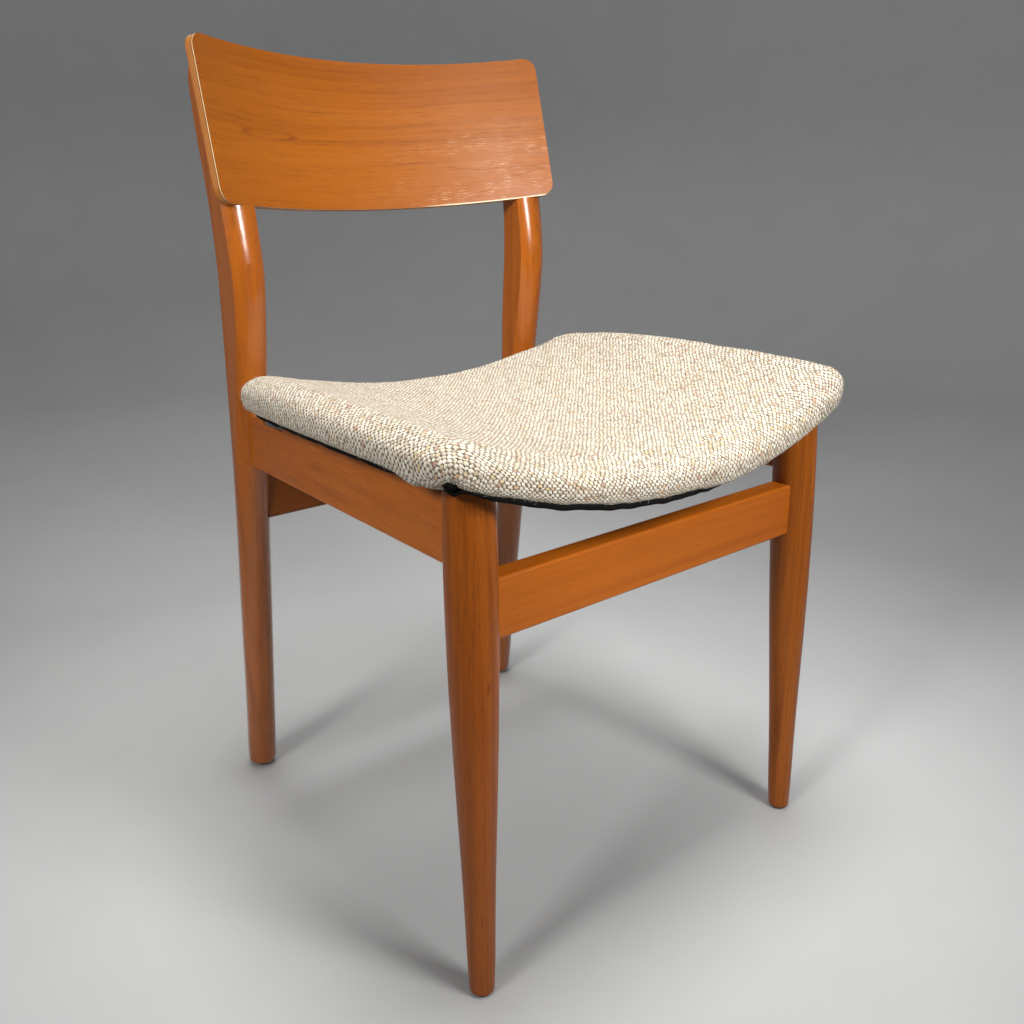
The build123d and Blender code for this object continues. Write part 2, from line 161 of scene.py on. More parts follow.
TEAK_DARK = (0.150, 0.030, 0.0030)
TEAK_MID = (0.345, 0.092, 0.0060)
TEAK_LIGHT = (0.445, 0.132, 0.0100)
TEAK_PORE = (0.060, 0.014, 0.003)
SOLID_WARMTH = 0.90                   # the solid wood is redder than the veneer
BACK_FOOT = (0, 0.1468, 0.6212)       # middle of the chord of the backrest's lower front edge
BACK_TILT = math.atan2(36.4, 144.6)
BACK_RADIUS = 0.4152                  # of its front face
BACK_HALF = 0.201                     # half the chord
BACK_THICK = 0.0085
VENEER = 0.0008
EYE_ARC, EYE_UP = -0.128, 0.0690      # middle of the eye figure on the backrest
EYE_HALF_LENGTH, EYE_HALF_HEIGHT, EYE_LIFT = 0.032, 0.0042, 0.0045


def along_backrest(graph):
    """Arc length from the middle, depth behind the front face and height up the backrest."""
    centre = math.sqrt(BACK_RADIUS**2 - BACK_HALF**2)
    here = graph.vector("SUBTRACT", graph.add("TexCoord").outputs["Object"], BACK_FOOT)
    local = graph.add("Mapping", here, (0, centre, 0), (BACK_TILT, 0, 0), (1, 1, 1)).outputs[0]
    across, out, up = graph.add("SeparateXYZ", local).outputs
    squares = graph.math("POWER", across, 2.0), graph.math("POWER", out, 2.0)
    radius = graph.math("SQRT", graph.math("ADD", *squares))
    arc = graph.math("MULTIPLY", graph.math("ARCTAN2", across, out), BACK_RADIUS)
    return arc, graph.math("SUBTRACT", radius, BACK_RADIUS), up


def eye(graph, arc, up):
    """How far the grain lines rise around an eye-shaped figure, and the share of its dark rim."""
    first = graph.math("DIVIDE", graph.math("SUBTRACT", arc, EYE_ARC), EYE_HALF_LENGTH)
    second = graph.math("DIVIDE", graph.math("SUBTRACT", up, EYE_UP), EYE_HALF_HEIGHT)
    far = graph.math("ADD", graph.math("MULTIPLY", first, first), graph.math("MULTIPLY", second, second))
    risen = graph.math("MULTIPLY", graph.math("POWER", math.e, graph.math("MULTIPLY", far, -1.0)), EYE_LIFT)
    off_rim = graph.math("ABSOLUTE", graph.math("SUBTRACT", graph.math("SQRT", far), 1.0))
    return risen, graph.span(off_rim, 0.0, 0.28, 0.60, 0.0)


def grain(graph, stretched, tone, gloss, contrast=1.0, warmth=1.0):
    """Colour, roughness and relief of teak; stretched(across, length) gives places along the fibres."""
    drift = graph.noise(stretched(6, 1.1), detail=2, distortion=0.3)
    figure = graph.noise(stretched(120, 1.5), detail=4, rough=0.6, distortion=0.5)
    streak = graph.noise(stretched(480, 5), detail=3, rough=0.6)
    pores = graph.noise(stretched(1700, 38), detail=2, rough=0.6)
    broad = graph.ramp(graph.span(drift, 0.3, 0.7), (0.0, TEAK_MID), (1.0, TEAK_LIGHT))
    banded = graph.mix(graph.span(figure, 0.45, 0.75, 0.0, 0.40 * contrast), broad, TEAK_DARK)
    streaked = graph.mix(graph.span(streak, 0.5, 0.8, 0.0, 0.38 * contrast), banded, TEAK_DARK)
    pale = graph.mix(graph.span(streak, 0.45, 0.2, 0.0, 0.25 * contrast), streaked, TEAK_LIGHT)
    pored = graph.mix(graph.span(pores, 0.60, 0.74, 0.0, 0.60 * contrast), pale, TEAK_PORE)
    handled = graph.noise(stretched(28, 14), detail=3)
    graph.rough(graph.math("ADD", graph.span(handled, 0.3, 0.75, gloss - 0.06, gloss + 0.10),
                           graph.span(pores, 0.58, 0.72, 0.0, 0.12)))
    relief = graph.math("ADD", graph.span(pores, 0.56, 0.74, 1.0, 0.0), graph.math("MULTIPLY", streak, 0.5))
    graph.bump(relief, 0.00010, 0.4)
    return graph.mix(1.0, pored, (tone, tone * warmth, tone * warmth**2), blend="MULTIPLY")


def pin_knot(graph, wood, place, size):
    """The wood's colour with a small dark knot drawn out along Y."""
    away = graph.vector("SUBTRACT", graph.add("TexCoord").outputs["Object"], place)
    squeezed = graph.vector("MULTIPLY", away, (0.2, 0.45, 1.0))
    far = graph.add("VectorMath", squeezed, operation="LENGTH").outputs[1]
    return graph.mix(graph.span(far, 0.3 * size, size, 0.85, 0.0), wood, (0.055, 0.014, 0.004))


def teak(name, axis, seed=0.0, tone=1.0, gloss=0.36, coat=0.12, contrast=1.0, knot=None):
    """Lacquered solid teak; axis is the row axis of its fibres, knot a pin knot's place and size."""
    graph = Graph(name, Coat_Weight=coat, Coat_Roughness=0.19, IOR=1.47, Specular_IOR_Level=0.22)
    along = {"X": 0, "Y": 1, "Z": 2}[axis]

    def stretched(across, length):
        scale = [across] * 3
        scale[along] = length
        return graph.place(tuple(scale), shift=(seed, seed * 0.7, seed * 0.3))

    wood = grain(graph, stretched, tone, gloss, contrast, SOLID_WARMTH)
    graph.colour(pin_knot(graph, wood, *knot) if knot else wood)
    return graph.material


def scuff(graph, wood, surface, arc, up):
    """Pale horizontal scratches towards the lower right, and a rubbed lower arris."""
    lines = graph.noise(graph.vector("MULTIPLY", surface, (55, 1, 2400)), detail=2, rough=0.6)
    patch = graph.noise(graph.vector("MULTIPLY", surface, (22, 1, 40)), detail=2)
    where = graph.math("MULTIPLY", graph.span(arc, 0.0, 0.12), graph.span(up, 0.095, 0.030))
    worn = graph.math("MULTIPLY", graph.span(patch, 0.45, 0.62), where)
    wood = graph.mix(graph.math("MULTIPLY", graph.span(lines, 0.58, 0.70), worn), wood, (0.95, 0.74, 0.55))
    rubbed = graph.math("MULTIPLY", graph.span(up, 0.0016, 0.0006), graph.span(arc, 0.05, 0.09))
    return graph.mix(rubbed, wood, (0.90, 0.74, 0.52))


def face_veneer(name, seed, tone, scuffed):
    """Teak veneer whose fibres follow the curve of the backrest."""
    graph = Graph(name, Coat_Weight=0.10, Coat_Roughness=0.28, IOR=1.47, Specular_IOR_Level=0.30)
    arc, depth, up = along_backrest(graph)
    swirl, rim = eye(graph, arc, up)
    bow = graph.math("MULTIPLY", graph.noise(graph.place((5, 5, 9), shift=(seed, 0, 0)), detail=1), 0.012)
    risen = graph.math("ADD", graph.math("ADD", up, swirl), bow)
    surface = graph.add("CombineXYZ", arc, depth, risen).outputs[0]

    def stretched(across, length):
        moved = graph.vector("ADD", surface, (seed, seed * 0.7, seed * 0.3))
        return graph.vector("MULTIPLY", moved, (length, 0.2 * across, across))

    wood = grain(graph, stretched, tone, 0.40, 0.9)
    broken = graph.math("MULTIPLY", rim, graph.span(graph.noise(stretched(300, 30)), 0.35, 0.6))
    wood = graph.mix(broken, wood, TEAK_DARK)
    if scuffed:
        wood = scuff(graph, wood, surface, arc, up)
    graph.colour(wood)
    return graph.material


def edge_plies(name):
    """The backrest's laminated edge: a pale cross ply under the face, then brown and golden plies."""
    graph = Graph(name, Coat_Weight=0.1, Coat_Roughness=0.25)
    _, depth, _ = along_backrest(graph)
    waver = graph.noise(graph.place((30, 30, 30)), detail=3)
    strayed = graph.math("ADD", depth, graph.math("MULTIPLY", graph.math("SUBTRACT", waver, 0.5), 0.0009))
    share = graph.span(strayed, VENEER, BACK_THICK - VENEER)
    brown, gold, cream = (0.27, 0.075, 0.008), (0.55, 0.230, 0.030), (1.0, 0.86, 0.50)
    plies = graph.ramp(share, (0.0, cream), (0.07, cream), (0.10, brown), (0.30, brown), (0.34, gold),
                       (0.40, gold), (0.44, brown), (0.52, brown), (0.56, gold), (0.62, gold),
                       (0.66, brown), (0.76, brown), (0.80, gold), (0.86, gold), (0.90, brown),
                       (1.0, brown))
    fine = graph.noise(graph.place((220, 220, 60)), detail=4, rough=0.7)
    graph.colour(graph.mix(graph.span(fine, 0.45, 0.8, 0.0, 0.55), plies, (0.20, 0.055, 0.010)))
    graph.rough(graph.span(fine, 0.3, 0.7, 0.40, 0.58))
    graph.bump(fine, 0.0002, 0.5)
    return graph.material


def wear(node, material):
    """Give a CAD node a material."""
    shown = nodes[node]
    shown.data.materials.clear()
    shown.data.materials.append(material)


def plain(name, colour, rough, spots=60.0, metallic=0.0, depth=0.0001, shine=0.5):
    """A material with soft variation in colour, roughness and height."""
    graph = Graph(name, Metallic=metallic, Specular_IOR_Level=shine)
    mottle = graph.noise(graph.place(), scale=spots, detail=4, rough=0.65)
    dim = tuple(0.72 * channel for channel in colour)
    graph.colour(graph.ramp(graph.span(mottle, 0.3, 0.7), (0.0, dim), (1.0, colour)))
    graph.rough(graph.span(mottle, 0.3, 0.7, rough - 0.08, rough + 0.12))
    graph.bump(mottle, depth)
    return graph.material


wear("front_leg_right", teak("teak_near_leg", "Z", 0.31, 0.80, 0.38, 0.14, 1.5))
wear("front_leg_left", teak("teak_far_leg", "Z", 0.77, 0.74, 0.38, 0.14, 1.5))
wear("rear_post_right", teak("teak_right_post", "Z", 1.31, 0.95, 0.22, 0.9))
wear("rear_post_left", teak("teak_left_post", "Z", 1.93, 0.95, 0.22, 0.9))
wear("side_rail_right", teak("teak_right_rail", "Y", 2.21, knot=((-0.205, 0.085, 0.398), 0.0022)))
wear("side_rail_left", teak("teak_left_rail", "Y", 2.77))
wear("front_rail", teak("teak_front_rail", "X", 3.13, 1.12, contrast=0.6))
# The rear rail's tone of 0.55 is painted shade: a darker copy of the teak for the rail that sits in shade
# under the seat
wear("rear_rail", teak("teak_rear_rail_painted_shade", "X", 3.71, 0.55))
wear("backrest_plugs", teak("teak_plug", "X", 4.3))
wear("backrest_front_veneer", face_veneer("veneer_front", 5.2, 0.90, True))
wear("backrest_back_veneer", face_veneer("veneer_back", 5.9, 1.0, False))
wear("backrest_core", edge_plies("backrest_plies"))
wear("seat_board", plain("plywood_seat", (0.50, 0.33, 0.17), 0.7))
beech = plain("beech_dowel", (0.55, 0.38, 0.22), 0.6)
for node in ("front_rail_dowels", "rear_rail_dowels", "side_rail_dowels"):
    wear(node, beech)
steel = plain("bright_steel", (0.55, 0.54, 0.52), 0.35, 300.0, 1.0)
for node in ("backrest_screws", "cover_staples", "bracket_screws", "seat_screws"):
    wear(node, steel)
wear("seat_brackets", plain("bracket_steel", (0.42, 0.42, 0.41), 0.45, 200.0, 1.0))
wear("seat_washers", plain("washer_nylon", (0.75, 0.73, 0.68), 0.5))
black_cloth = plain("bottom_cloth", (0.007, 0.0065, 0.0065), 0.9, 900.0, shine=0.08)
wear("seat_bottom_cloth", black_cloth)
glide_nylon = plain("glide_nylon", (0.05, 0.035, 0.025), 0.55, 120.0)
for corner in ("front_left", "front_right", "rear_left", "rear_right"):
    wear(corner + "_glide", glide_nylon)


# ---------------------------------------------------------------- fabric
KNOT_PITCH = 0.00336                  # between neighbouring knots of the tweed
# near-black painted shade for the hollows between the knots
GAP_PAINTED_SHADE = (0.016, 0.013, 0.011)


def tweed(pitch):
    """Tweed of thick pale yarns that rise in staggered knots; the UV map is the flat cloth, in metres."""
    graph = Graph("oatmeal_tweed", Sheen_Weight=0.15, Sheen_Roughness=0.6, IOR=1.4, Roughness=0.92,
                  Specular_IOR_Level=0.3)
    uv = graph.add("TexCoord").outputs["UV"]

    def wander(scale, reach):
        drift = graph.add("TexNoise")
        graph.feed(drift.inputs["Vector"], uv)
        drift.inputs["Scale"].default_value = scale
        drift.inputs["Detail"].default_value = 2
        centred = graph.vector("SUBTRACT", drift.outputs["Color"], (0.5, 0.5, 0.5))
        return graph.vector("MULTIPLY", centred, (reach, reach, reach))

    def spread(scale_across, scale_along):
        """Smooth noise over the flat cloth."""
        flat = graph.add("Mapping", uv, (0, 0, 0), (0, 0, 0), (scale_across, scale_along, 1)).outputs[0]
        return graph.noise(flat, detail=2)

    def dice(place):
        """A random number for each cell."""
        return graph.add("TexWhiteNoise", place, noise_dimensions="3D").outputs[0]

    strayed = graph.vector("ADD", uv, wander(90, 1.3 * pitch))
    strayed = graph.vector("ADD", strayed, wander(380, 0.85 * pitch))
    # The knots stand on a grid turned by 45 degrees; the darker yarns between them on its corners
    grid = graph.add("Mapping", strayed, (0, 0, 0), (0, 0, math.pi / 4), (1 / pitch,) * 3).outputs[0]

    def knot(place, width, length):
        """Height of a dome in each cell, wider or longer along the cloth."""
        first, second, _ = graph.add("SeparateXYZ", graph.vector("FRACTION", place)).outputs
        first, second = (graph.math("SUBTRACT", value, 0.5) for value in (first, second))
        across = graph.math("DIVIDE", graph.math("SUBTRACT", first, second), width)
        along = graph.math("DIVIDE", graph.math("ADD", first, second), length)
        squares = graph.math("MULTIPLY", across, across), graph.math("MULTIPLY", along, along)
        left = graph.math("SUBTRACT", 1.0, graph.math("ADD", *squares))
        return graph.math("SQRT", graph.math("MAXIMUM", left, 0.0)), across, along

    cell = graph.vector("FLOOR", grid)
    shade = dice(cell)
    chance = dice(graph.vector("ADD", cell, (17.0, 5.0, 3.0)))
    dome, across, along = knot(grid, 0.66, 0.86)
    high = graph.math("MULTIPLY", dome, graph.span(chance, 0.0, 1.0, 0.72, 1.0))
    between = graph.vector("ADD", grid, (0.5, 0.5, 0.0))
    low = graph.math("MULTIPLY", knot(between, 0.80, 0.34)[0], 0.5)
    height = graph.math("MAXIMUM", high, low)
    # Fibres twist across each knot, and the twist's grooves are darkened as painted shade
    turns = graph.math("MULTIPLY", across, 7.0), graph.math("MULTIPLY", along, 11.0)
    twist = graph.math("SINE", graph.math("ADD", *turns))
    pale = graph.ramp(shade, (0.0, (0.50, 0.41, 0.30)), (0.18, (0.78, 0.69, 0.54)),
                      (0.5, (0.93, 0.88, 0.74)), (1.0, (1.0, 0.97, 0.88)))
    spun = graph.mix(graph.span(spread(60, 500), 0.50, 0.78, 0.0, 0.5), pale, (0.60, 0.50, 0.37))
    hue = graph.ramp(shade, (0.0, (0.50, 0.12, 0.03)), (0.3, (0.66, 0.32, 0.10)), (0.6, (0.80, 0.58, 0.13)),
                     (1.0, (0.16, 0.13, 0.11)))
    flecked = graph.mix(graph.span(chance, 0.895, 0.91, 0.0, 0.75), spun, hue)
    deep_hue = graph.ramp(chance, (0.0, (0.13, 0.095, 0.070)), (0.5, (0.34, 0.25, 0.17)),
                          (0.8, (0.40, 0.18, 0.08)), (1.0, (0.16, 0.15, 0.14)))
    fluff = graph.noise(graph.place(), scale=1900, detail=3, rough=0.7)
    fibrous = graph.mix(graph.span(fluff, 0.35, 0.7, 0.0, 0.35), flecked, (0.97, 0.94, 0.86))
    twist_shaded = graph.mix(graph.span(twist, 0.2, 1.0, 0.0, 0.28), fibrous, (0.46, 0.37, 0.27))
    woven = graph.mix(graph.span(graph.math("SUBTRACT", high, low), -0.02, 0.18), deep_hue, twist_shaded)
    # Painted shade: the hollows between the knots are darkened towards near black, unevenly over the cloth
    gap_shade = graph.span(height, 0.22, 0.58, 1.0, 0.0)
    depth = graph.math("MULTIPLY", gap_shade, graph.span(spread(230, 230), 0.3, 0.55, 0.75, 1.0))
    toned = graph.mix(1.0, woven, (0.86, 0.835, 0.80), blend="MULTIPLY")
    graph.colour(graph.mix(depth, toned, GAP_PAINTED_SHADE))
    relief = graph.math("ADD", height, graph.math("MULTIPLY", fluff, 0.35))
    relief = graph.math("ADD", relief, graph.math("MULTIPLY", twist, -0.05))
    graph.bump(relief, 0.0015, 0.9)
    return graph.material


# ---------------------------------------------------------------- seat pad
seat_low_corner, seat_high_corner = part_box("seat_cover")
SEAT_WIDE = seat_high_corner.x        # half width at the widest place
SEAT_FRONT = seat_low_corner.y        # middle of the bowed front edge
SEAT_REAR = seat_high_corner.y
WIDE_Y = -0.138                       # where the seat is widest
SIDE_RADIUS = 1.45                    # of the sides' bow in plan
FRONT_RADIUS = 2.45                   # of the front's bow in plan
FRONT_CORNER = 0.022
REAR_CORNER = 0.038
UNDER_RADIUS, TOP_RADIUS = 0.580, 0.575
UNDER_LOW, TOP_LOW = 0.3968, 0.4280   # heights at the front, on the centre line
UNDER_CLIMB, TOP_CLIMB = 0.011, 0.0265
CLIMB_FROM = -0.231


def rounded(first, second, radius):
    """Signed distance to the corner between two edges, rounded to a radius."""
    round_part = np.hypot(np.maximum(first + radius, 0), np.maximum(second + radius, 0)) - radius
    return np.where((first > -radius) & (second > -radius), round_part, np.maximum(first, second))


def outside(x, y):
    """Signed distance outside the seat's plan."""
    side_slope = (y - WIDE_Y) / SIDE_RADIUS
    side = (np.abs(x) - SEAT_WIDE + (y - WIDE_Y) ** 2 / (2 * SIDE_RADIUS)) / np.sqrt(1 + side_slope**2)
    front = SEAT_FRONT + x**2 / (2 * FRONT_RADIUS) - y
    rear = y - SEAT_REAR
    return np.where(y < 0, rounded(side, front, FRONT_CORNER), rounded(side, rear, REAR_CORNER))


def outward(x, y, step=1e-4):
    """Unit direction away from the seat's plan."""
    gx = outside(x + step, y) - outside(x - step, y)
    gy = outside(x, y + step) - outside(x, y - step)
    size = np.maximum(np.hypot(gx, gy), 1e-9)
    return gx / size, gy / size


def dish(x, y, radius, low, climb):
    """Height of a dished surface."""
    return low + climb * (y - CLIMB_FROM) + radius - np.sqrt(radius**2 - x**2)


EDGE_IN = 0.026                       # where the top starts to round over, inside the plan
EDGE_TOP = 0.034                      # cloth length of the rounding above the widest line
EDGE_LOW = 0.018                      # and below it
UNDER_IN = 0.007                      # inset of the lower edge at the sides and rear
# The black band that shows under the front is partly the hem and partly painted shade
FRONT_IN = 0.003                      # and at the front, where a black hem shows below it
FRONT_LIFT = 0.0042                   # height of that hem
CORNER_THIN, CORNER_THIN_REACH = 0.45, 0.030    # how it thins towards a front corner
HEM_END = 0.055                       # where it has sunk behind the cover, towards +X
TURN_UNDER = 0.022
WIDEST = 0.42                         # height of the widest line as a share of the thickness
SQUARE = 0.72                         # power that squares the lower rounding off; 1 is an ellipse
PROUD = 0.0022                        # of the cover over the board and padding it wraps
SIDE_SWELL = 0.0055                   # bulge of the soft side edges
REAR_THIN = 0.0050                    # how much thinner the padding is at the rear corners
REAR_THIN_REACH = 0.070
REAR_HALF = 0.206
LAPPED = EDGE_TOP + EDGE_LOW + TURN_UNDER
GATHER_Y, GATHER_REACH, GATHER_DROP = -0.184, 0.019, 0.0052   # cloth gathered low at the front corners
GATHER_OUT = 0.0015                   # how far the gathered cloth stands out
PLEAT_Y, PLEAT_WIDTH, PLEAT_DEPTH, PLEAT_LIFT = -0.1900, 0.0026, 0.0026, 0.002
TUCK = (0.2262, -0.2172)              # plan place of the hollow where the gathers are tucked in
TUCK_REACH, TUCK_DEPTH, TUCK_LIFT = 0.0070, 0.0010, 0.0030
CLOTH_MARGIN = 0.075                  # of the woven grid around the plan, before it is cut


def bell(value, middle, reach):
    """1 at the middle, falling smoothly to nothing over about twice the reach."""
    return np.exp(-(((value - middle) / reach) ** 2))


def frontness(x, ny):
    """1 along the part of the front edge with a hem, 0 along the sides, the rear and the far front."""
    share = np.clip((-ny - 0.35) / 0.4, 0, 1) * np.clip((HEM_END - x) / 0.06, 0, 1)
    return share * share * (3 - 2 * share) * (1 - CORNER_THIN * bell(np.abs(x), TUCK[0], CORNER_THIN_REACH))


def edge_profile(run, front):
    """Distance outside the plan, height share and drop, by cloth length beyond the flat of the top."""
    over_top = np.clip(run / EDGE_TOP, 0, 1) * math.pi / 2
    below = np.clip((run - EDGE_TOP) / EDGE_LOW, 0, 1) * math.pi / 2
    under = np.clip(run - EDGE_TOP - EDGE_LOW, 0, None)
    drop = np.minimum(under, FRONT_LIFT * front)
    inset = UNDER_IN + (FRONT_IN - UNDER_IN) * front
    offset = -EDGE_IN + EDGE_IN * np.sin(over_top) - inset * (1 - np.cos(below) ** SQUARE) - (under - drop)
    share = WIDEST + (1 - WIDEST) * np.cos(over_top) - WIDEST * np.sin(below) ** SQUARE
    return offset + PROUD, share, drop


def underside(x, y):
    """Height of the seat board's lower face."""
    return dish(x, y, UNDER_RADIUS, UNDER_LOW, UNDER_CLIMB)


def lay_cloth(spacing):
    """The cover wrapped over the pad, as a woven grid.

    Returns flat cloth places, wrapped places, quads, cloth lengths beyond the flat of the top, and how
    each place is pressed in afterwards at the pleats and tucks.
    """
    reach_x, reach_y = SEAT_WIDE + CLOTH_MARGIN, (SEAT_REAR - SEAT_FRONT) / 2 + CLOTH_MARGIN
    middle_y = (SEAT_REAR + SEAT_FRONT) / 2
    us = np.linspace(-reach_x, reach_x, 2 * round(reach_x / spacing) + 1)
    vs = np.linspace(middle_y - reach_y, middle_y + reach_y, 2 * round(reach_y / spacing) + 1)
    u, v = (a.ravel() for a in np.meshgrid(us, vs, indexing="ij"))
    run = outside(u, v) + EDGE_IN
    nx, ny = outward(u, v)
    front = frontness(u, ny)
    held = np.clip(run, 0, LAPPED)
    offset, share, drop = edge_profile(held, front)
    # Pull a place beyond the flat back to its line on the plan, then out or in along the profile
    moved = np.where(run > 0, run - (offset + EDGE_IN), 0)
    x, y = u - nx * moved, v - ny * moved
    low = underside(x, y) + FRONT_LIFT * front - PROUD * (1 - front)
    high = dish(x, y, TOP_RADIUS, TOP_LOW, TOP_CLIMB)
    high = high - REAR_THIN * bell(np.hypot(np.abs(x) - REAR_HALF, y - SEAT_REAR), 0, REAR_THIN_REACH)
    z = low + (high - low) * np.where(run > 0, share, 1) - drop
    # The soft edges: bulging sides, and the cloth gathered and tucked in at the front corners
    edge = bell(held, EDGE_TOP, 0.6 * EDGE_TOP)
    lower = np.clip((held - 0.5 * EDGE_TOP) / (0.5 * EDGE_TOP + EDGE_LOW), 0, 1)
    hanging = lower * np.clip((LAPPED - held) / TURN_UNDER, 0, 1)
    gather = bell(y, GATHER_Y, GATHER_REACH) * np.clip((np.abs(nx) - 0.75) / 0.2, 0, 1)
    pleat = bell(y, PLEAT_Y, PLEAT_WIDTH) * (np.abs(nx) > 0.5) * lower
    tuck = bell(np.hypot(np.abs(x) - TUCK[0], y - TUCK[1]), 0, TUCK_REACH) * lower
    out = SIDE_SWELL * edge * nx**2 + GATHER_OUT * gather * lower
    x, y = x + nx * out, y + ny * out
    z = z - GATHER_DROP * gather * hanging
    inward = PLEAT_DEPTH * pleat + TUCK_DEPTH * tuck
    pressed = np.stack([-nx * inward, -ny * inward, TUCK_LIFT * tuck + PLEAT_LIFT * pleat], 1)
    kept = run < LAPPED
    rows, columns = len(us), len(vs)
    index = np.arange(rows * columns).reshape(rows, columns)
    quads = np.stack([index[:-1, :-1], index[1:, :-1], index[1:, 1:], index[:-1, 1:]], -1).reshape(-1, 4)
    quads = quads[kept[quads].any(1)]
    used = np.unique(quads)
    fresh = np.zeros(rows * columns, int)
    fresh[used] = np.arange(len(used))
    flat = np.stack([u, v], 1)[used]
    places = np.stack([x, y, z], 1)[used]
    return flat, places, fresh[quads], np.clip(run, 0, None)[used], pressed[used]


def mesh_object(name, places, faces, uv=None):
    """An object from points and faces, with a UV map from a pair of values per point."""
    mesh = bpy.data.meshes.new(name)
    mesh.from_pydata([tuple(p) for p in places], [], [tuple(int(i) for i in f) for f in faces])
    if uv is not None:
        layer = mesh.uv_layers.new(name="cloth")
        corner = np.empty(len(mesh.loops), np.int32)
        mesh.loops.foreach_get("vertex_index", corner)
        layer.data.foreach_set("uv", uv[corner].astype(np.float32).ravel())
    mesh.update()
    made = bpy.data.objects.new(name, mesh)
    bpy.context.scene.collection.objects.link(made)
    for polygon in mesh.polygons:
        polygon.use_smooth = True
    return made


def read_places(mesh):
    places = np.empty(len(mesh.vertices) * 3)
    mesh.vertices.foreach_get("co", places)
    return places.reshape(-1, 3)


def set_places(mesh, places):
    mesh.vertices.foreach_set("co", places.ravel())
    mesh.update()


HELD_FROM = EDGE_TOP + 0.7 * EDGE_LOW    # cloth length beyond which the cover is stapled still
SETTLE_STEPS = 20
SLIDE = 0.4                           # share of the sideways movement that is kept


def pull_taut(piece, flat, run, slack, pressure, cap):
    """Swell the wrapped cover from its flat cut by a cloth simulation; the held points stay put."""
    start = read_places(piece.data)
    piece.shape_key_add(name="wrapped")
    cut = piece.shape_key_add(name="cut")
    cut.data.foreach_set("co", np.column_stack([flat * slack, np.zeros(len(flat))]).ravel())
    group = piece.vertex_groups.new(name="held")
    group.add([int(i) for i in np.nonzero(run > HELD_FROM)[0]], 1.0, "REPLACE")
    cloth = piece.modifiers.new("swell", "CLOTH")
    settings = cloth.settings
    settings.rest_shape_key = cut
    settings.vertex_group_mass = group.name
    settings.quality = 6
    settings.mass = 0.3
    settings.tension_stiffness = settings.compression_stiffness = 12
    settings.shear_stiffness = 3
    settings.bending_stiffness = 0.3
    settings.use_pressure = True
    settings.uniform_pressure_force = pressure
    settings.effector_weights.gravity = 0
    scene = bpy.context.scene
    for step in range(1, SETTLE_STEPS + 1):
        scene.frame_set(step)
    swollen = piece.evaluated_get(bpy.context.evaluated_depsgraph_get())
    moved = read_places(swollen.data) - start
    normals = np.empty(len(start) * 3)
    piece.data.vertices.foreach_get("normal", normals)
    normals = normals.reshape(-1, 3)
    rise = (moved * normals).sum(1, keepdims=True)
    moved = SLIDE * (moved - rise * normals) + np.maximum(rise, 0) * normals
    moved *= np.clip((HELD_FROM - run) / (HELD_FROM - EDGE_TOP), 0, 1)[:, None]
    piece.modifiers.remove(cloth)
    piece.shape_key_clear()
    piece.vertex_groups.clear()
    scene.frame_set(1)
    size = np.linalg.norm(moved, axis=1, keepdims=True)
    capped = moved * np.minimum(1, cap * np.tanh(size / cap) / np.maximum(size, 1e-9))
    set_places(piece.data, start + capped)


HEM_CENTRE_Y = -0.05                  # a point inside the plan that the outline is traced from
HEM_STATIONS, HEM_SIDES = 720, 14
HEM_TUCKED = -0.0085                  # its middle, measured outwards from the plan
HEM_OUT = 0.0075                      # how much further out it is at the front
HEM_HALF_WIDE, HEM_HALF_TALL = 0.0030, 0.0012
HEM_FRONT_NARROW = 0.0008
# Painted shade: at the sides the hem hangs lower and taller to darken the rail tops below the cover
HEM_SIDE_SHADE_DROP, HEM_SIDE_SHADE_TALL = 0.0044, 0.0016    # how it shows below the sides
HEM_TUCK_REACH, HEM_TUCK_TALL, HEM_TUCK_LIFT = 0.008, 0.0014, 0.0012


def outline(count):
    """Places around the seat's plan with their outward directions."""
    angle = np.linspace(0, 2 * math.pi, count, endpoint=False)
    dx, dy = np.cos(angle), np.sin(angle)
    near, far = np.zeros(count), np.full(count, 0.4)
    for _ in range(40):
        middle = (near + far) / 2
        inside = outside(dx * middle, dy * middle + HEM_CENTRE_Y) < 0
        near, far = np.where(inside, middle, near), np.where(inside, far, middle)
    x, y = dx * near, dy * near + HEM_CENTRE_Y
    return (x, y, *outward(x, y))


